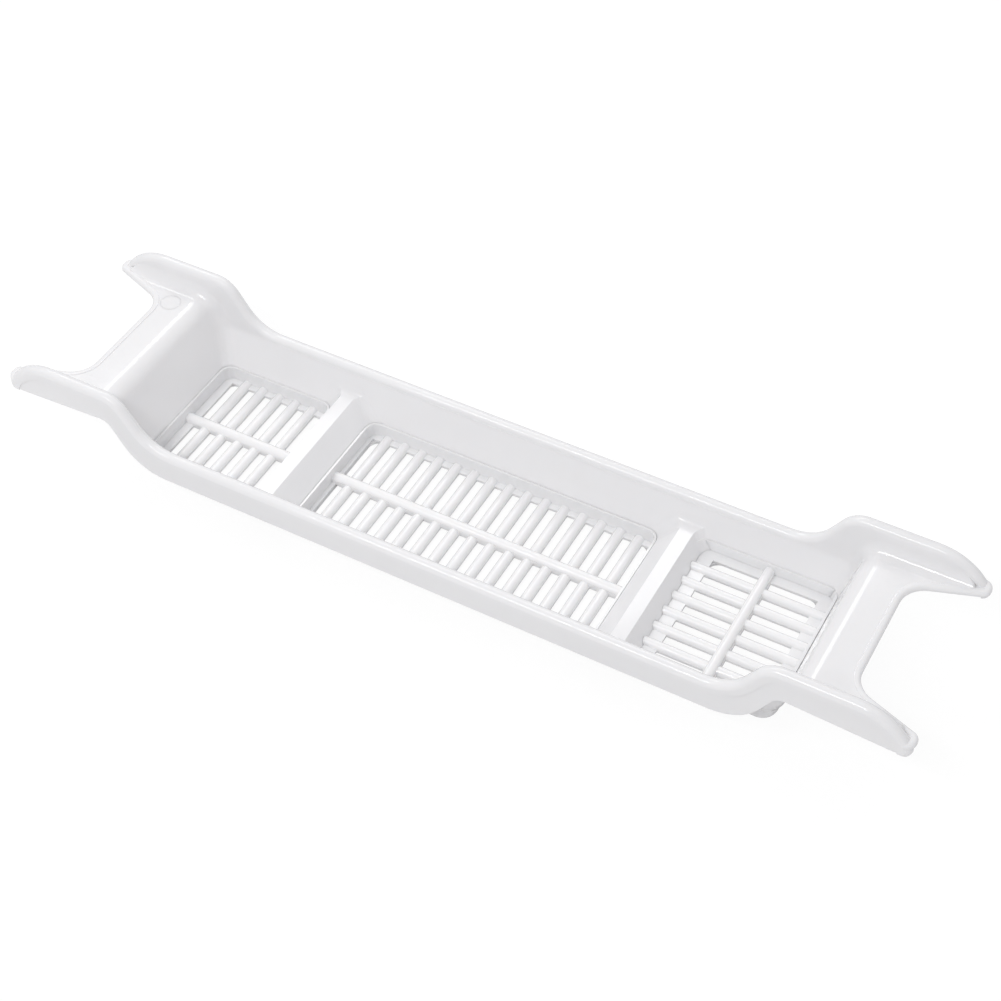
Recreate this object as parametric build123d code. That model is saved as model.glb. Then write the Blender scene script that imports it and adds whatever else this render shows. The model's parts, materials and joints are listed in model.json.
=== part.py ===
"""Bath caddy: a moulded tray that spans a bath, with three lift-out slatted floors.

Units are millimetres. X runs along the caddy, the front side is -Y and +Z is up.
The origin is on the surface that the caddy stands on, at the centre of its length and width.
"""
from build123d import *
from math import atan2, cos, pi, radians, sin, sqrt, tan
import os

# Overall form of the tray
length = 730.0
width = 157.0
rim_top = 52.0
arm_rise = 40.5
skirt_depth = 26.4
wall = 2.4
rim_width = 9.6
rim_round = 4.7
skirt_inset = 0.7

# Bend between the body and an arm, seen from the front and set back from the tips
rim_bend_inset = 148.0
rim_bend_low_radius = 34.0
rim_bend_high_radius = 22.0
rim_bend_angle = 58.0
skirt_bend_inset = 140.0
skirt_bend_low_radius = 40.0
skirt_bend_high_radius = 10.0
skirt_bend_angle = 60.0

# Arm and its two prongs
arm_floor_depth = 20.1
arm_foot_fall = 4.5
notch_depth = 51.5
notch_corner_radius = 20.0
prong_tip_width = 12.9
prong_slant_angle = 19.3
prong_outer_radius = 7.0
prong_inner_radius = 6.0
prong_drop_angle = 62.0
prong_nose_radius = 6.0
prong_nose_height = 3.5
prong_ledge = 0.8

# Thin rolled edge round the notches
edge_bead_width = 5.0
edge_bead_depth = 3.4
edge_bead_rise = 0.7
edge_bead_outer_round = 3.0
edge_bead_inner_round = 0.6

# Trough inside the rim
trough_wall_lean = 20.6
trough_shoulder_radius = 18.0
deck_bend_radius = 14.0
end_wall_lean = 15.5
end_wall_inset = 101.5
corner_radius = 10.0

# Wells, from the left end to the right
divider_top = 32.0
divider_top_width = 11.0
divider_end_round = 6.0
divider_outer_lean = 28.0
middle_half_length = 141.0
middle_slope_lean = 45.0
crease_height = 17.0
soap_crease_height = 26.0
deep_floor_height = 4.6
soap_floor_height = 17.0
lip_thickness = 2.0
deep_lip_width = 5.0
deep_bottom_round = 3.0
soap_lip_width = 8.0
soap_bottom_round = 5.0

# Lift-out floors
rack_clearance = 0.3
rack_seat_gap = 0.2
rack_plate = 2.4
rack_upstand = 1.8
ridge_land = 0.3
slat_pitch = 15.66
slat_slot_width = 7.0
slat_end_margin = 4.0
slat_side_margin = 7.5
slat_spine_width = 9.0
slat_spine_rise = 5.9
slat_ridge_rise = 2.8
soap_pitch = 15.67
soap_slot_width = 7.6
soap_end_margin = 10.8
soap_side_margin = 8.0
soap_column_gap = 9.4
soap_ridge_rise = 3.3
soap_spine_width = 8.0
soap_spine_rise = 6.4

# Round grip pads under the arms
pad_radius = 11.0
pad_thickness = 9.0
pad_end_inset = 63.5
pad_side_inset = 25.5
pad_chamfer = 1.0
pad_groove_radii = (3.0, 7.0)
pad_groove_width = 1.6
pad_groove_depth = 0.8
pad_ring_clearance = 0.25
pad_ring_wall = 1.6
pad_ring_height = 2.0

# One overrun serves every cut
overrun = 20.0

half_length = length / 2
half_width = width / 2
arm_top = rim_top + arm_rise
arm_floor = arm_top - arm_floor_depth
skirt_foot = rim_top - skirt_depth
arm_foot = skirt_foot + arm_rise
inner_half_width = half_width - rim_width
divider_outer = middle_half_length + divider_top_width
deep_seat = deep_floor_height - rack_plate - rack_seat_gap
soap_seat = soap_floor_height - rack_plate - rack_seat_gap
notch_x = half_length - notch_depth


def lean(angle):
    """Sideways run for each unit of height on a wall that leans by angle from upright."""
    return tan(radians(angle))


def along_arc(centre, radius, start, end):
    """Arc about a centre between two angles, measured from upright towards +X."""
    def at(angle):
        return (centre[0] + radius * sin(angle), centre[1] + radius * cos(angle))

    return ThreePointArc(at(start), at((start + end) / 2), at(end))


def mirrored_face(half_edges):
    """Closed face from edges on the +X side and their mirror images."""
    return make_face(Wire(half_edges + [edge.mirror(Plane.YZ) for edge in half_edges]))


def across(face, start, end):
    """Solid from a face in the upright plane along the caddy, between two Y values."""
    return extrude(Plane.XZ.offset(-start) * face, amount=start - end)


def bend_edges(start, low, rise, low_radius, high_radius, angle):
    """Level start, arc, straight slope and second arc of a bend."""
    turn = radians(angle)
    slope = (rise - (low_radius + high_radius) * (1 - cos(turn))) / tan(turn)
    end = start + (low_radius + high_radius) * sin(turn) + slope
    low_arc = along_arc((start, low + low_radius), low_radius, pi, pi - turn)
    high_arc = along_arc((end, low + rise - high_radius), high_radius, -turn, 0)
    return [Line((0, low), low_arc @ 0), low_arc, Line(low_arc @ 1, high_arc @ 0), high_arc]


def rim_edges(inset=0.0):
    """Top line of the rim from the centre to the prong's nose, lowered by inset."""
    edges = bend_edges(
        half_length - rim_bend_inset, rim_top - inset, arm_rise,
        rim_bend_low_radius + inset, rim_bend_high_radius - inset, rim_bend_angle,
    )
    drop = radians(prong_drop_angle)
    nose_z = arm_foot - arm_foot_fall + prong_nose_height
    nose_x = half_length - prong_ledge - prong_nose_radius
    radius = (arm_top - nose_z - prong_nose_radius * cos(drop)) / (1 - cos(drop))
    centre_x = nose_x - (radius - prong_nose_radius) * sin(drop)
    end = pi - atan2(sqrt(prong_nose_radius ** 2 - prong_nose_height ** 2), prong_nose_height)
    drop_arc = along_arc((centre_x, arm_top - radius), radius - inset, 0, drop)
    nose_arc = along_arc((nose_x, nose_z), prong_nose_radius - inset, drop, end)
    return edges + [Line(edges[-1] @ 1, drop_arc @ 0), drop_arc, nose_arc]


def foot_edges():
    """Foot line of the skirt from the centre to the top of its bend."""
    return bend_edges(
        half_length - skirt_bend_inset, skirt_foot, arm_rise,
        skirt_bend_low_radius, skirt_bend_high_radius, skirt_bend_angle,
    )


def skirted_side():
    """Outline of a long side between the rim's top and the skirt's foot, level under the arms."""
    top = rim_edges()
    foot = foot_edges()
    tip, bend_top = top[-1] @ 1, foot[-1] @ 1
    under = (bend_top.X, tip.Y)
    return mirrored_face(top + [Line(tip, under), Line(under, bend_top)] + foot)


def foot_wedge():
    """Space that makes the foot of an arm's skirt fall towards the prong's nose."""
    tip, bend_top = rim_edges()[-1] @ 1, foot_edges()[-1] @ 1
    level_x = tip.X - prong_nose_radius - prong_nose_radius
    low = tip.Y - overrun
    outline = Polyline(bend_top, (level_x, tip.Y), (level_x, low), (bend_top.X, low), close=True)
    return across(make_face(outline), -half_width - overrun, half_width + overrun)


def down_side(top, floor):
    """Face between a top line and a level floor."""
    end = top[-1] @ 1
    return mirrored_face(top + [Line(end, (end.X, floor)), Line((end.X, floor), (0, floor))])


def nearest(shape, *points):
    """Vertices of a shape that lie nearest to the points."""
    return [shape.vertices().sort_by_distance(point)[0] for point in points]


def plan(inset=0.0):
    """Plan outline with its four prongs, drawn in by inset."""
    tip_y = half_width - prong_tip_width
    root_y = tip_y - notch_depth * lean(prong_slant_angle)
    half = make_face(Polyline(
        (0, half_width), (half_length, half_width), (half_length, tip_y),
        (notch_x, root_y), (notch_x, -root_y), (half_length, -tip_y),
        (half_length, -half_width), (0, -half_width), close=True,
    ))
    outer = [(half_length, half_width), (half_length, -half_width)]
    inner = [(half_length, tip_y), (half_length, -tip_y)]
    root = [(notch_x, root_y), (notch_x, -root_y)]
    half = fillet(nearest(half, *outer), prong_outer_radius)
    half = fillet(nearest(half, *inner), prong_inner_radius)
    half = fillet(nearest(half, *root), notch_corner_radius)
    whole = half + mirror(half, about=Plane.YZ)
    return offset(whole, amount=-inset) if inset else whole


def upright(face, low, high):
    """Solid of a plan face between two heights."""
    return extrude(Pos(0, 0, low) * face, amount=high - low)


def rails(inset=0.0):
    """Both long rims with their rounded tops, in outer size or drawn in by inset."""
    top = rim_edges(inset)[:-1] if inset else rim_edges()
    face = down_side(top, -overrun) if inset else skirted_side()
    rail = across(face, inner_half_width + inset, half_width - inset)
    sides = rail.faces().sort_by(Axis.Y)
    crest = []
    for side in (sides[0], sides[-1]):
        for middle in [line @ 0.5 for line in top]:
            for end in (-1, 1):
                point = (end * middle.X, side.center().Y, middle.Y)
                crest.append(side.edges().sort_by_distance(point)[0])
    rail = fillet(list(dict.fromkeys(crest)), rim_round - inset)
    if not inset:
        wedge = foot_wedge()
        rail -= wedge + mirror(wedge, about=Plane.YZ)
    return rail + mirror(rail, about=Plane.XZ)


def trough_half_width(height):
    """Half width of the trough between its leaning side walls at a height."""
    kink = rim_top - rim_round
    return min(inner_half_width, inner_half_width - (kink - height) * lean(trough_wall_lean))


def end_wall_x(height):
    """Distance from the centre to the leaning end wall at a height."""
    return half_length - end_wall_inset + (height - soap_floor_height) * lean(end_wall_lean)


def trough(grow=0.0):
    """Space between the rims, over the arms' floors and down to the dividers' tops."""
    above = arm_top + overrun
    low = divider_top - grow
    side = grow / cos(radians(trough_wall_lean))
    kink = rim_top - rim_round - (side - grow) / lean(trough_wall_lean)
    face_y = inner_half_width + grow
    points = [(trough_half_width(low) + side, low), (face_y, kink), (face_y, above)]
    section = make_face(Polyline(points + [(-y, z) for y, z in reversed(points)], close=True))
    shoulders = nearest(section, (face_y, kink), (-face_y, kink))
    section = fillet(shoulders, trough_shoulder_radius + grow)
    section = extrude(Plane.YZ * section, amount=half_length + overrun, both=True)
    radius = deck_bend_radius - grow
    deck = arm_floor - grow
    turn = radians(90 - end_wall_lean)
    end_grow = grow / cos(radians(end_wall_lean))
    foot = (end_wall_x(low) + end_grow, low)
    bend_end = end_wall_x(deck) + end_grow + radius * tan(turn / 2)
    bend = along_arc((bend_end, deck - radius), radius, -turn, 0)
    side_x = half_length + overrun
    edges = [
        Line((0, low), foot),
        Line(foot, bend @ 0),
        bend,
        Line(bend @ 1, (side_x, deck)),
        Line((side_x, deck), (side_x, above)),
        Line((side_x, above), (0, above)),
    ]
    reach = half_width + overrun
    space = section & across(mirrored_face(edges), -reach, reach)
    corners = [
        edge for edge in space.edges()
        if overrun < abs((edge @ 0.5).X) < half_length and abs((edge @ 0.5).Y) > overrun
    ]
    space = fillet(corners, corner_radius + grow)
    return fillet(space.edges().group_by(Axis.Z)[0], divider_end_round + grow)


def basin(limits, levels, half_widths, grow):
    """Four-sided space with rounded corners between two heights, grown outwards on every side."""
    rings = []
    for height, half_y in zip(levels, half_widths):
        low, high = limits(height)
        ring = Rectangle(high - low + 2 * grow, 2 * (half_y + grow))
        rings.append((Pos((low + high) / 2, 0, height) * ring).face())
    body = loft(rings, ruled=True)
    return fillet(body.edges().group_by(Axis.Z)[1], corner_radius + grow)


def divider_face(height):
    """Distance from the centre to a divider's outer face at a height."""
    return divider_outer + (divider_top - height) * lean(divider_outer_lean)


def bottle_limits(height):
    """X limits of the left well at a height."""
    level = max(height, crease_height)
    return -end_wall_x(level), -divider_face(level)


def middle_limits(height):
    """X limits of the middle well at a height."""
    drop = divider_top - max(height, crease_height)
    reach = middle_half_length - drop * lean(middle_slope_lean)
    return -reach, reach


def soap_limits(height):
    """X limits of the right well at a height."""
    return divider_face(height), end_wall_x(height)


wells = (
    (bottle_limits, crease_height, deep_seat, deep_bottom_round, deep_lip_width),
    (middle_limits, crease_height, deep_seat, deep_bottom_round, deep_lip_width),
    (soap_limits, soap_crease_height, soap_seat, soap_bottom_round, soap_lip_width),
)


def well(limits, crease, seat, bottom_round, grow=0.0):
    """Space of one well, from the seat of its floor to over the dividers' tops."""
    over = divider_top + divider_end_round
    narrow, wide = trough_half_width(crease), trough_half_width(over)
    lower = basin(limits, (seat - grow, crease), (narrow, narrow), grow)
    lower = fillet(lower.edges().group_by(Axis.Z)[0], bottom_round + grow)
    return lower + basin(limits, (crease, over), (narrow, wide), grow)


def lip_opening(limits, crease, seat, lip_width):
    """Hole through the bottom of a well that leaves the lip."""
    low, high = limits(seat)
    half_y = trough_half_width(crease) - lip_width
    ring = RectangleRounded(high - low - 2 * lip_width, 2 * half_y, corner_radius)
    return upright(Pos((low + high) / 2, 0) * ring, -overrun, seat + overrun)


def edge_bead():
    """Thin rolled edge round the notches and the prongs' tips."""
    ring = plan() - plan(edge_bead_width)
    bead = upright(ring, arm_floor - wall, arm_floor + edge_bead_rise)
    top = bead.faces().sort_by(Axis.Z)[-1]
    bead = fillet(top.outer_wire().edges(), edge_bead_outer_round)
    top = bead.faces().sort_by(Axis.Z)[-1]
    inner = [edge for wire in top.inner_wires() for edge in wire.edges()]
    bead = fillet(inner, edge_bead_inner_round)
    bead += upright(plan() - plan(wall), arm_floor - edge_bead_depth, arm_floor - wall)
    tips = Rectangle(length, width) - Rectangle(length - 2 * prong_tip_width, width)
    return bead + upright(plan(wall) & tips, arm_floor - wall, arm_floor)


def skirt_steps():
    """Shallow recess on both outer faces, under the rim."""
    reach = half_width + overrun
    below = across(down_side(rim_edges(rim_width)[:-1], -overrun), -reach, reach)
    face = half_width - skirt_inset
    return below - upright(Rectangle(length + overrun, 2 * face), -overrun, arm_top)


def pad_places():
    """Names and centres of the four grip pads."""
    x = half_length - pad_end_inset
    y = half_width - pad_side_inset
    return {
        "grip_pad_front_left": (-x, -y),
        "grip_pad_front_right": (x, -y),
        "grip_pad_back_left": (-x, y),
        "grip_pad_back_right": (x, y),
    }


def pad_ring():
    """Ring under an arm that a grip pad sits in."""
    inner = pad_radius + pad_ring_clearance
    ring = Circle(inner + pad_ring_wall) - Circle(inner)
    return upright(ring, arm_floor - wall - pad_ring_height, arm_floor - wall / 2)


def build_tray():
    """The main moulding, a thin wall everywhere."""
    middle = half_width - rim_width / 2
    clear = notch_x - notch_corner_radius
    ends = Rectangle(length + overrun, width + overrun) - Rectangle(2 * clear, width + overrun)
    inside = plan(edge_bead_outer_round)
    core = across(down_side(rim_edges(rim_round), -overrun), -middle, middle)
    core &= upright(inside, -overrun, arm_top)
    cavity = rails(wall)
    plugs = trough(wall)
    space = trough()
    for limits, crease, seat, bottom_round, lip_width in wells:
        plugs += well(limits, crease, seat, bottom_round, lip_thickness)
        space += well(limits, crease, seat, bottom_round)
    tray = rails() - cavity - core
    tray += plugs & (core + upright(inside & ends, -overrun, arm_floor))
    tray -= space
    for limits, crease, seat, bottom_round, lip_width in wells:
        tray -= lip_opening(limits, crease, seat, lip_width)
    tray += (edge_bead() & upright(ends, -overrun, arm_top)) - cavity
    tray -= skirt_steps()
    for x, y in pad_places().values():
        tray += Pos(x, y, 0) * pad_ring()
    return tray


def grip_pad():
    """Soft round pad with ring grooves on its underside."""
    top = arm_floor - wall
    low = top - pad_thickness
    pad = upright(Circle(pad_radius), low, top)
    pad = chamfer(pad.edges().sort_by(Axis.Z)[0], pad_chamfer)
    for radius in pad_groove_radii:
        groove = Circle(radius + pad_groove_width / 2) - Circle(radius - pad_groove_width / 2)
        pad -= upright(groove, low - overrun, low + pad_groove_depth)
    return pad


def rack_shell(limits, crease, floor_top, bottom_round):
    """Plate and upstand of a lift-out floor, with a small gap to the well all round."""
    half_y = trough_half_width(crease)
    outer = basin(limits, (floor_top - rack_plate, crease), (half_y, half_y), -rack_clearance)
    return fillet(outer.edges().group_by(Axis.Z)[0], bottom_round)


def ridge(chord, rise, run):
    """Rounded ridge along X, from the level of its chord up, centred on the origin."""
    arc = ThreePointArc((-chord / 2, 0), (0, rise), (chord / 2, 0))
    face = make_face([arc, Line(arc @ 1, arc @ 0)])
    return extrude(Plane.YZ * face, amount=run / 2, both=True)


def spine(chord, rise, run):
    """Rod along X with upright sides and a round top, centred on the origin."""
    radius = chord / 2
    side = rise - radius
    arc = ThreePointArc((-radius, side), (0, rise), (radius, side))
    face = make_face([
        Line((-radius, 0), arc @ 0), arc, Line(arc @ 1, (radius, 0)), Line((radius, 0), (-radius, 0)),
    ])
    return extrude(Plane.YZ * face, amount=run / 2, both=True)


def fitted_count(run, margin, slot_width, pitch):
    """How many slots fit into a run between its margins."""
    return int((run - 2 * margin + pitch - slot_width) / pitch)


def row_places(count, pitch):
    """Places of evenly spaced rows about zero."""
    return [(index - (count - 1) / 2) * pitch for index in range(count)]


def slat_rack(limits):
    """Lift-out floor with two rows of slots, ridges across it and a rod along its middle."""
    low_x, high_x = limits(deep_floor_height)
    centre_x = (low_x + high_x) / 2
    half_y = trough_half_width(crease_height)
    inner = rack_clearance + rack_upstand
    hollow = RectangleRounded(
        high_x - low_x - 2 * inner, 2 * (half_y - inner), corner_radius - inner,
    )
    rack = rack_shell(limits, crease_height, deep_floor_height, deep_bottom_round)
    rack -= upright(Pos(centre_x, 0) * hollow, deep_floor_height, arm_top)
    count = fitted_count(high_x - low_x, slat_end_margin, slat_slot_width, slat_pitch)
    slot_end = half_y - slat_side_margin
    slot_start = slat_spine_width / 2
    slot = Rectangle(slat_slot_width, slot_end - slot_start)
    slots = Sketch() + [
        Pos(centre_x + x, side * (slot_end + slot_start) / 2) * slot
        for x in row_places(count, slat_pitch) for side in (-1, 1)
    ]
    rack -= upright(slots, -overrun, overrun)
    chord = slat_pitch - slat_slot_width - 2 * ridge_land
    bar = Rot(0, 0, 90) * ridge(chord, slat_ridge_rise, 2 * (half_y - inner))
    for x in row_places(count - 1, slat_pitch):
        rack += Pos(centre_x + x, 0, deep_floor_height) * bar
    rod = spine(slat_spine_width, slat_spine_rise, high_x - low_x - 2 * inner)
    return rack + Pos(centre_x, 0, deep_floor_height) * rod


def soap_rack():
    """Lift-out floor with two columns of slots and ridges that die into the sloping ends."""
    shell = rack_shell(soap_limits, soap_crease_height, soap_floor_height, soap_bottom_round)
    half_y = trough_half_width(soap_crease_height)
    inner = rack_clearance + rack_upstand
    low_x, high_x = soap_limits(soap_floor_height)
    centre_x = (low_x + high_x) / 2
    opening = Rectangle(2 * high_x, 2 * (half_y - inner))
    rack = shell - upright(opening, soap_floor_height, arm_top)
    count = fitted_count(2 * half_y, soap_side_margin, soap_slot_width, soap_pitch)
    chord = soap_pitch - soap_slot_width - 2 * ridge_land
    bar = ridge(chord, soap_ridge_rise, 2 * high_x)
    for y in row_places(count - 1, soap_pitch):
        rack += (Pos(0, y, soap_floor_height) * bar) & shell
    rod = Rot(0, 0, 90) * spine(soap_spine_width, soap_spine_rise, 2 * (half_y - inner))
    rack += Pos(centre_x, 0, soap_floor_height) * rod
    slot_length = (high_x - low_x - soap_column_gap) / 2 - soap_end_margin
    slot = Rectangle(slot_length, soap_slot_width)
    offset_x = (slot_length + soap_column_gap) / 2
    slots = Sketch() + [
        Pos(centre_x + side * offset_x, y) * slot
        for y in row_places(count, soap_pitch) for side in (-1, 1)
    ]
    return rack - upright(slots, -overrun, arm_top)


def build_part():
    """All the named pieces of the caddy."""
    part = {
        "tray": build_tray(),
        "bottle_rack": slat_rack(bottle_limits),
        "slat_rack": slat_rack(middle_limits),
        "soap_rack": soap_rack(),
    }
    pad = grip_pad()
    for name, (x, y) in pad_places().items():
        part[name] = Pos(x, y, 0) * pad
    return part


if __name__ == "__main__":
    os.makedirs("parts", exist_ok=True)
    for name, solid in build_part().items():
        print(name, len(solid.solids()), round(solid.volume), solid.is_valid)
        export_step(solid, f"parts/{name}.step")
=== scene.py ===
"""Bath caddy in glossy white plastic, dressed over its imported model.

Lengths are metres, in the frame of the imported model: X runs along the caddy, the front
side is -Y, +Z is up, and the caddy stands on Z = 0.
"""
from __future__ import annotations

import json
import logging
import math
from dataclasses import dataclass
from enum import Enum

import bmesh
import bpy
import numpy as np
from mathutils import Matrix, Vector
from mathutils.bvhtree import BVHTree


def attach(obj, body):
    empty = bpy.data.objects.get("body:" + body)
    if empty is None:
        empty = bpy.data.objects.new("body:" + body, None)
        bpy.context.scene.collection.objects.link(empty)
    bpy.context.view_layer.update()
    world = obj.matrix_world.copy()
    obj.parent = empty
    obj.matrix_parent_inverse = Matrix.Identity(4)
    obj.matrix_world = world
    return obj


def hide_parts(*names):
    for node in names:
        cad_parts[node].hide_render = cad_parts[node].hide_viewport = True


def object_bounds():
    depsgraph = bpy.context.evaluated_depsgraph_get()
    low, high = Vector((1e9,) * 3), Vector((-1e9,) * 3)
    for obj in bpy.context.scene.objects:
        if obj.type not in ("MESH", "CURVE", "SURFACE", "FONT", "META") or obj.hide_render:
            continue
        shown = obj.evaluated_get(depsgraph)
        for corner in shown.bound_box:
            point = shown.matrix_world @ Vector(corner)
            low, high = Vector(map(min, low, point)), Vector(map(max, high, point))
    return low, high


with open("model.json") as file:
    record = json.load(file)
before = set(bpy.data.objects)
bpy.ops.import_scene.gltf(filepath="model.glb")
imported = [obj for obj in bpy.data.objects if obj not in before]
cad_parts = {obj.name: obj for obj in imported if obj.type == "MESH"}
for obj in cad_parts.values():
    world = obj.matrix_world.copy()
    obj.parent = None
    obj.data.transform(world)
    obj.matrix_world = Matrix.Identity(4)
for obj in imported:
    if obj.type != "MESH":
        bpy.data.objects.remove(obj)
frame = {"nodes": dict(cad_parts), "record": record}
CAD_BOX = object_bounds()

log = logging.getLogger("bath_caddy")

Colour = tuple[float, float, float]
Place = tuple[float, float, float]

PHOTO_SIZE = 1001
UP = (0.0, 0.0, 1.0)

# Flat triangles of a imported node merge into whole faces, and edges sharper than
# SHARP_ANGLE get the small rounding that a mould leaves.
MERGE_DISTANCE = 1e-6
FLAT_ANGLE = math.radians(0.4)
SHARP_ANGLE = math.radians(32)
EDGE_SEGMENTS = 2

# Each layer of the moulded skin: its scale input, its output and its fine detail.
SKIN_LAYERS = (
    ("Tone Scale", "Tone", 2.0),
    ("Gloss Scale", "Gloss", 4.0),
    ("Ripple Scale", "Height", 1.0),
)


class Slot(Enum):
    """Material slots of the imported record."""

    TRAY = "white_moulding"
    RACK = "white_rack"
    PAD = "grip_rubber"


def put_in_scene(item: bpy.types.Object) -> bpy.types.Object:
    """Links an object into the scene and hands it back."""
    bpy.context.scene.collection.objects.link(item)
    return item


def mould_skin_group() -> bpy.types.ShaderNodeTree:
    """Faint unevenness of a moulded skin, built once.

    Returns:
        A node group whose outputs vary over the surface: Tone, a slow drift between 0 and
        1, Gloss, patches of polish between 0 and 1, and Height, the ripple of the skin.
    """
    name = "mould_skin"
    if name in bpy.data.node_groups:
        return bpy.data.node_groups[name]
    group = bpy.data.node_groups.new(name, "ShaderNodeTree")
    group.interface.new_socket("Vector", in_out="INPUT", socket_type="NodeSocketVector")
    source = group.nodes.new("NodeGroupInput")
    result = group.nodes.new("NodeGroupOutput")
    for scale, output, detail in SKIN_LAYERS:
        group.interface.new_socket(scale, in_out="INPUT", socket_type="NodeSocketFloat")
        group.interface.new_socket(output, in_out="OUTPUT", socket_type="NodeSocketFloat")
        noise = group.nodes.new("ShaderNodeTexNoise")
        noise.inputs["Detail"].default_value = detail
        group.links.new(source.outputs["Vector"], noise.inputs["Vector"])
        group.links.new(source.outputs[scale], noise.inputs["Scale"])
        group.links.new(noise.outputs["Fac"], result.inputs[output])
    return group


@dataclass(frozen=True)
class PlasticFinish:
    """Glossy moulded polypropylene, faintly clouded by the light inside it."""

    name: str
    pale: Colour = (0.925, 0.922, 0.928)
    deep: Colour = (0.90, 0.895, 0.903)
    gloss_low: float = 0.10
    gloss_high: float = 0.18
    tone_scale: float = 14.0
    gloss_scale: float = 60.0
    ripple_scale: float = 260.0
    ripple_depth: float = 0.00003
    ior: float = 1.49
    glow: float = 0.30
    glow_reach: float = 0.004
    glow_tint: Colour = (1.0, 0.95, 0.9)
    skin: float = 0.35
    skin_gloss: float = 0.05

    def material(self) -> bpy.types.Material:
        """Builds the material once.

        The tone of the skin fades the colour between deep and pale, its gloss sets the
        roughness between low and high, and its height raises the ripple.

        Returns:
            The finished material.
        """
        if self.name in bpy.data.materials:
            return bpy.data.materials[self.name]
        material = bpy.data.materials.new(self.name)
        material.use_nodes = True
        nodes, links = material.node_tree.nodes, material.node_tree.links
        shader = nodes["Principled BSDF"]
        shader.inputs["IOR"].default_value = self.ior
        shader.inputs["Subsurface Weight"].default_value = self.glow
        shader.inputs["Subsurface Radius"].default_value = self.glow_tint
        shader.inputs["Subsurface Scale"].default_value = self.glow_reach
        shader.inputs["Coat Weight"].default_value = self.skin
        shader.inputs["Coat Roughness"].default_value = self.skin_gloss
        place = nodes.new("ShaderNodeTexCoord")
        skin = nodes.new("ShaderNodeGroup")
        skin.node_tree = mould_skin_group()
        skin.inputs["Tone Scale"].default_value = self.tone_scale
        skin.inputs["Gloss Scale"].default_value = self.gloss_scale
        skin.inputs["Ripple Scale"].default_value = self.ripple_scale
        links.new(place.outputs["Object"], skin.inputs["Vector"])
        colour = nodes.new("ShaderNodeValToRGB")
        colour.color_ramp.elements[0].color = (*self.deep, 1)
        colour.color_ramp.elements[1].color = (*self.pale, 1)
        links.new(skin.outputs["Tone"], colour.inputs["Fac"])
        links.new(colour.outputs["Color"], shader.inputs["Base Color"])
        gloss = nodes.new("ShaderNodeMapRange")
        gloss.inputs["To Min"].default_value = self.gloss_low
        gloss.inputs["To Max"].default_value = self.gloss_high
        links.new(skin.outputs["Gloss"], gloss.inputs["Value"])
        links.new(gloss.outputs["Result"], shader.inputs["Roughness"])
        bump = nodes.new("ShaderNodeBump")
        bump.inputs["Distance"].default_value = self.ripple_depth
        links.new(skin.outputs["Height"], bump.inputs["Height"])
        links.new(bump.outputs["Normal"], shader.inputs["Normal"])
        return material


@dataclass(frozen=True)
class RubberFinish(PlasticFinish):
    """Matt soft rubber with a fine grain and no light inside it."""

    pale: Colour = (0.56, 0.565, 0.58)
    deep: Colour = (0.48, 0.485, 0.50)
    gloss_low: float = 0.62
    gloss_high: float = 0.80
    tone_scale: float = 90.0
    gloss_scale: float = 220.0
    ripple_scale: float = 2600.0
    ripple_depth: float = 0.00006
    glow: float = 0.0
    skin: float = 0.0


def smooth_copy(
    node: str, name: str, body: str, finish: PlasticFinish, edge_round: float,
) -> bpy.types.Object:
    """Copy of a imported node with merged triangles, smooth round faces and softened edges.

    Args:
        node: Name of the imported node.
        name: Name of the new piece.
        body: Body that the piece rides on.
        finish: Finish of the piece.
        edge_round: Width of the rounding that the mould leaves on sharp edges.

    Returns:
        The piece, which stands for the node.
    """
    mesh = frame["nodes"][node].data.copy()
    mesh.name = name
    work = bmesh.new()
    work.from_mesh(mesh)
    bmesh.ops.remove_doubles(work, verts=work.verts, dist=MERGE_DISTANCE)
    bmesh.ops.dissolve_limit(
        work, angle_limit=FLAT_ANGLE, use_dissolve_boundaries=False,
        verts=work.verts, edges=work.edges,
    )
    work.to_mesh(mesh)
    work.free()
    mesh.materials.clear()
    mesh.materials.append(finish.material())
    mesh.polygons.foreach_set("use_smooth", np.ones(len(mesh.polygons), bool))
    mesh.set_sharp_from_angle(angle=SHARP_ANGLE)
    piece = put_in_scene(bpy.data.objects.new(name, mesh))
    soft = piece.modifiers.new("soft_edges", "BEVEL")
    soft.width = edge_round
    soft.segments = EDGE_SEGMENTS
    soft.limit_method = "ANGLE"
    soft.angle_limit = SHARP_ANGLE
    soft.use_clamp_overlap = True
    weighted = piece.modifiers.new("even_shading", "WEIGHTED_NORMAL")
    weighted.keep_sharp = True
    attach(piece, body)
    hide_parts(node)
    return piece


@dataclass
class MouldedTray:
    """The one-piece tray with its rims, arms, dividers and wells."""

    body: str = "tray"
    finish: PlasticFinish = PlasticFinish("glossy_white_moulding")
    edge_round: float = 0.0005

    def build(self) -> list[bpy.types.Object]:
        """Builds and dresses the tray.

        Returns:
            The tray.
        """
        return [smooth_copy(
            "tray", "moulded_tray", self.body, self.finish, self.edge_round,
        )]


@dataclass
class LiftOutRack:
    """One lift-out slatted floor, which is a body of its own."""

    node: str
    finish: PlasticFinish = PlasticFinish(
        "glossy_white_rack", (0.95, 0.947, 0.952), (0.93, 0.926, 0.933), glow=0.45,
    )
    edge_round: float = 0.0004

    def build(self) -> list[bpy.types.Object]:
        """Builds and dresses the rack.

        Returns:
            The rack.
        """
        return [smooth_copy(
            self.node, f"{self.node}_moulding", self.node, self.finish,
            self.edge_round,
        )]


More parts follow.
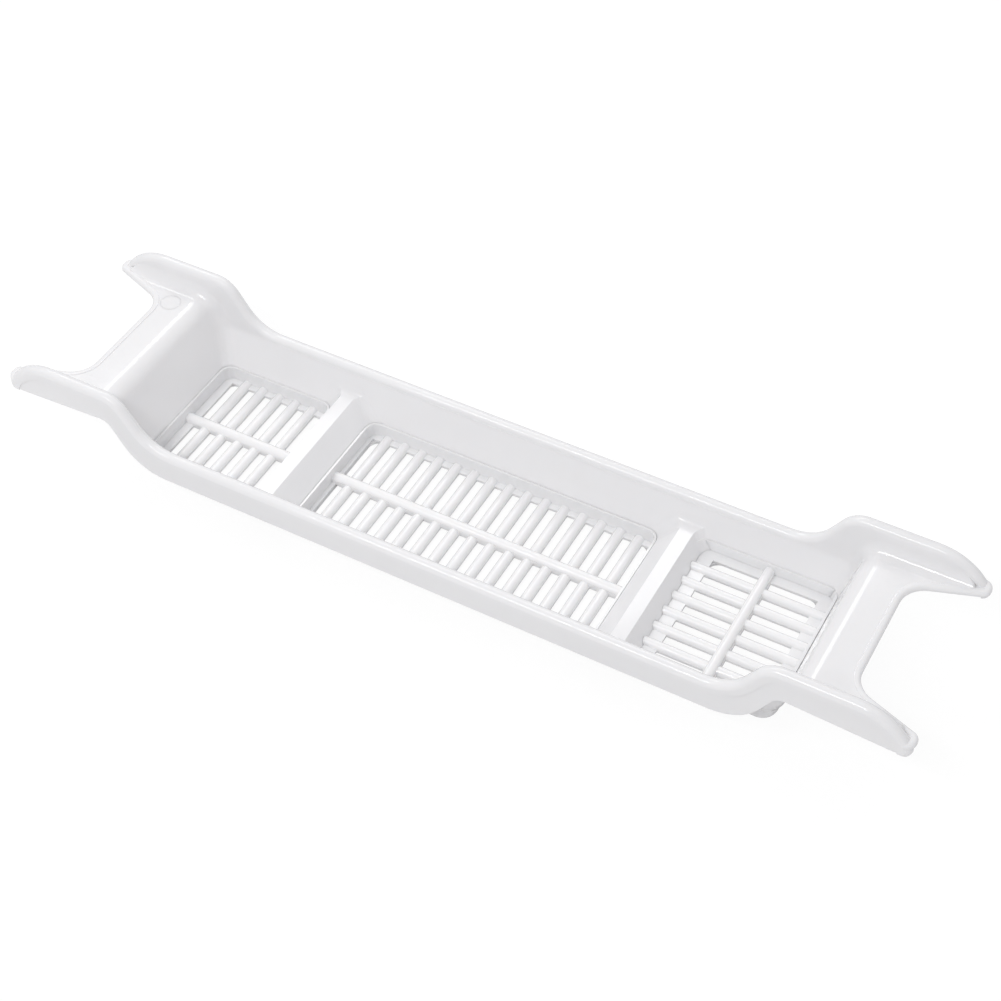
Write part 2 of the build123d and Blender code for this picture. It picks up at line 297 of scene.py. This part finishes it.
@dataclass
class GripPads:
    """The four soft pads under the arms."""

    body: str = "tray"
    finish: PlasticFinish = RubberFinish("grey_grip_rubber")
    edge_round: float = 0.0002

    def build(self) -> list[bpy.types.Object]:
        """Builds and dresses the pads.

        Returns:
            The four pads.
        """
        return [
            smooth_copy(node, f"{node}_rubber", self.body, self.finish, self.edge_round)
            for node in frame["record"]["behaviour"]["bodies"][self.body]
            if node.startswith("grip_pad")
        ]


@dataclass
class FixingMark:
    """Faint round mark that the moulding shows over one grip pad."""

    centre: tuple[float, float] = (-0.3027, 0.0486)
    radius: float = 0.008
    band: float = 0.0006
    rise: float = 0.00008
    sunk: float = 0.0002
    around: int = 96
    across: int = 12
    body: str = "tray"
    finish: PlasticFinish = PlasticFinish("glossy_white_moulding")

    def floor_height(self) -> float:
        """Height of the arm's floor under the mark.

        Returns:
            Where a ray that falls from over the tray first meets it.
        """
        surface = bmesh.new()
        surface.from_mesh(frame["nodes"]["tray"].data)
        start = Vector((*self.centre, CAD_BOX[1][2] + self.radius))
        hit = BVHTree.FromBMesh(surface).ray_cast(start, -Vector(UP))
        surface.free()
        return hit[0].z

    def surface(self) -> tuple[np.ndarray, np.ndarray]:
        """Closed ring that stands a hair over the arm's floor.

        A turn goes round the circle of the radius, and a roll goes round the section, an
        ellipse about that circle: half the band wide, as high as the rise over the floor,
        and as deep as the sunk half under it.

        Returns:
            The points, and the faces as four numbers of points each.
        """
        turn = np.linspace(0, 2 * np.pi, self.around, endpoint=False)[:, None]
        roll = np.linspace(0, 2 * np.pi, self.across, endpoint=False)[None, :]
        reach = self.radius + self.band / 2 * np.cos(roll)
        height = np.where(np.sin(roll) > 0, self.rise, self.sunk) * np.sin(roll)
        points = np.stack([
            self.centre[0] + reach * np.cos(turn),
            self.centre[1] + reach * np.sin(turn),
            np.broadcast_to(self.floor_height() + height, (self.around, self.across)),
        ], axis=-1)
        ring = np.arange(self.around)[:, None]
        step = np.arange(self.across)[None, :]
        after, beyond = (ring + 1) % self.around, (step + 1) % self.across
        faces = np.stack([
            ring * self.across + step, after * self.across + step,
            after * self.across + beyond, ring * self.across + beyond,
        ], axis=-1)
        return points.reshape(-1, 3), faces.reshape(-1, 4)

    def build(self) -> list[bpy.types.Object]:
        """Builds and dresses the mark on the arm's floor.

        Returns:
            The mark.
        """
        points, faces = self.surface()
        mesh = bpy.data.meshes.new("fixing_mark")
        mesh.from_pydata(points.tolist(), [], faces.tolist())
        mesh.polygons.foreach_set("use_smooth", np.ones(len(mesh.polygons), bool))
        mesh.materials.append(self.finish.material())
        mark = put_in_scene(bpy.data.objects.new("fixing_mark", mesh))
        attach(mark, self.body)
        return [mark]


@dataclass(frozen=True)
class Softbox:
    """One soft rectangular lamp, with its power in watts."""

    name: str
    place: Place
    size: tuple[float, float]
    power: float

    def build(self, target: Place) -> None:
        """Hangs the lamp and turns it.

        Args:
            target: Where the lamp points.
        """
        data = bpy.data.lights.new(self.name, "AREA")
        data.shape = "RECTANGLE"
        data.size, data.size_y = self.size
        data.energy = self.power
        lamp = put_in_scene(bpy.data.objects.new(self.name, data))
        toward = Vector(target) - Vector(self.place)
        turned = toward.to_track_quat("-Z", "Y").to_matrix().to_4x4()
        lamp.matrix_world = Matrix.Translation(Vector(self.place)) @ turned


@dataclass
class Studio:
    """White floor, soft lamps and the camera of the photograph."""

    elevation: float = math.radians(47.592)
    azimuth: float = math.radians(30.248)
    roll: float = math.radians(-1.646)
    focal_pixels: float = 1884.54
    centre_pixels: tuple[float, float] = (473.48, 491.96)
    target: Place = (0.0, 0.0, 0.052)
    distance: float = 1.37515
    sensor: float = 36.0
    sight: float = 100.0
    floor_size: float = 12.0
    floor_colour: Colour = (0.8, 0.8, 0.8)
    floor_roughness: float = 0.9
    floor_white: float = 1.06
    floor_glow: float = 0.86
    room_colour: Colour = (0.99, 0.985, 1.0)
    room_light: float = 0.61
    lamps: tuple[Softbox, ...] = (
        Softbox("back_softbox", (-0.7, 1.0, 1.4), (1.6, 0.4), 6),
        Softbox("front_softbox", (-0.2, -1.1, 1.6), (1.5, 0.15), 12),
    )

    def camera(self) -> None:
        """Places the camera.

        The view direction leans down by the elevation and turns by the azimuth, the
        picture turns by the roll, and the target falls on the photograph's own pixel.
        """
        sin_e, cos_e = math.sin(self.elevation), math.cos(self.elevation)
        sin_a, cos_a = math.sin(self.azimuth), math.cos(self.azimuth)
        ahead = Vector((-sin_a, cos_a, 0))
        right = Vector((cos_a, sin_a, 0))
        forward = ahead * cos_e - Vector(UP) * sin_e
        above = ahead * sin_e + Vector(UP) * cos_e
        turned_right = right * math.cos(self.roll) + above * math.sin(self.roll)
        turned_up = above * math.cos(self.roll) - right * math.sin(self.roll)
        shift_x = (self.centre_pixels[0] - PHOTO_SIZE / 2) / self.focal_pixels
        shift_y = (PHOTO_SIZE / 2 - self.centre_pixels[1]) / self.focal_pixels
        ray = forward + turned_right * shift_x + turned_up * shift_y
        place = Vector(self.target) - ray * self.distance
        data = bpy.data.cameras.new("photo_camera")
        data.sensor_width = self.sensor
        data.lens = self.sensor * self.focal_pixels / PHOTO_SIZE
        data.clip_end = self.sight
        camera = put_in_scene(bpy.data.objects.new("photo_camera", data))
        basis = Matrix((turned_right, turned_up, -forward)).transposed().to_4x4()
        camera.matrix_world = Matrix.Translation(place) @ basis
        bpy.context.scene.camera = camera

    def world(self) -> None:
        """Lights the room evenly and shows white behind the caddy."""
        world = bpy.data.worlds.new("white_room")
        world.use_nodes = True
        bpy.context.scene.world = world
        nodes, links = world.node_tree.nodes, world.node_tree.links
        sky = nodes["Background"]
        sky.inputs["Color"].default_value = (*self.room_colour, 1)
        sky.inputs["Strength"].default_value = self.room_light
        seen = nodes.new("ShaderNodeBackground")
        seen.inputs["Color"].default_value = (1, 1, 1, 1)
        path = nodes.new("ShaderNodeLightPath")
        mix = nodes.new("ShaderNodeMixShader")
        links.new(path.outputs["Is Camera Ray"], mix.inputs["Fac"])
        links.new(sky.outputs["Background"], mix.inputs[1])
        links.new(seen.outputs["Background"], mix.inputs[2])
        links.new(mix.outputs["Shader"], nodes["World Output"].inputs["Surface"])

    def floor_material(self) -> bpy.types.Material:
        """Floor that is white to the camera, plain to other light and clear from below.

        Returns:
            The material, which keeps the caddy's shadow.
        """
        material = bpy.data.materials.new("white_floor")
        material.use_nodes = True
        nodes, links = material.node_tree.nodes, material.node_tree.links
        plain = nodes["Principled BSDF"]
        plain.inputs["Base Color"].default_value = (*self.floor_colour, 1)
        plain.inputs["Roughness"].default_value = self.floor_roughness
        white = nodes.new("ShaderNodeEmission")
        white.inputs["Strength"].default_value = self.floor_white
        path = nodes.new("ShaderNodeLightPath")
        share = nodes.new("ShaderNodeMath")
        share.operation = "MULTIPLY"
        share.inputs[1].default_value = self.floor_glow
        top = nodes.new("ShaderNodeMixShader")
        links.new(path.outputs["Is Camera Ray"], share.inputs[0])
        links.new(share.outputs["Value"], top.inputs["Fac"])
        links.new(plain.outputs["BSDF"], top.inputs[1])
        links.new(white.outputs["Emission"], top.inputs[2])
        side = nodes.new("ShaderNodeNewGeometry")
        clear = nodes.new("ShaderNodeBsdfTransparent")
        both = nodes.new("ShaderNodeMixShader")
        links.new(side.outputs["Backfacing"], both.inputs["Fac"])
        links.new(top.outputs["Shader"], both.inputs[1])
        links.new(clear.outputs["BSDF"], both.inputs[2])
        links.new(both.outputs["Shader"], nodes["Material Output"].inputs["Surface"])
        return material

    def floor(self) -> None:
        """Lays the floor that the caddy stands on."""
        half = self.floor_size / 2
        mesh = bpy.data.meshes.new("studio_floor")
        corners = [(-half, -half, 0), (half, -half, 0), (half, half, 0), (-half, half, 0)]
        mesh.from_pydata(corners, [], [(0, 1, 2, 3)])
        mesh.materials.append(self.floor_material())
        put_in_scene(bpy.data.objects.new("studio_floor", mesh))

    def build(self) -> None:
        """Sets up the camera, room, floor and lamps, and the plain view settings."""
        self.camera()
        self.world()
        self.floor()
        for lamp in self.lamps:
            lamp.build(self.target)
        bpy.context.scene.view_settings.view_transform = "Standard"


def main() -> None:
    """Builds every sub-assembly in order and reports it."""
    logging.basicConfig(level=logging.INFO, format="%(message)s")
    builders = [
        MouldedTray(),
        LiftOutRack("bottle_rack"),
        LiftOutRack("slat_rack"),
        LiftOutRack("soap_rack"),
        FixingMark(),
        GripPads(),
    ]
    for builder in builders:
        for piece in builder.build():
            log.info("%s: %d faces", piece.name, len(piece.data.polygons))
    Studio().build()


if __name__ == "__main__":
    main()
